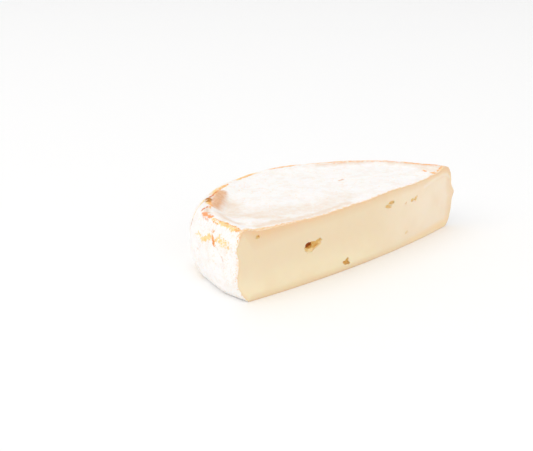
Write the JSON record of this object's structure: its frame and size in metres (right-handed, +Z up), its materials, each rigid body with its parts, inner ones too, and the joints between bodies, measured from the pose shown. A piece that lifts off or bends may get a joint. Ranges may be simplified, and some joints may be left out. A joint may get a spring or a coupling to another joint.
{
  "type": "half of a round soft washed-rind cheese",
  "caption": "Half wheel of soft washed-rind cheese lying on its flat base, with a bloomy wrinkled rind, a raised rim round the top and a pale cut face with small eyes.",
  "frame": {"origin": "middle of the box that holds the base, on the surface that the cheese lies on", "axes": "+X along the cut face, towards the end with the higher rim; +Y into the cheese, away from the cut face; +Z up"},
  "size_m": [0.1496, 0.0728, 0.0309],
  "materials": {
    "cheese": "soft matte rind with pale bloom, smooth satin paste on the cut face"
  },
  "bodies": {
    "root": {"cheese_half": "cheese"}
  },
  "joints": []
}
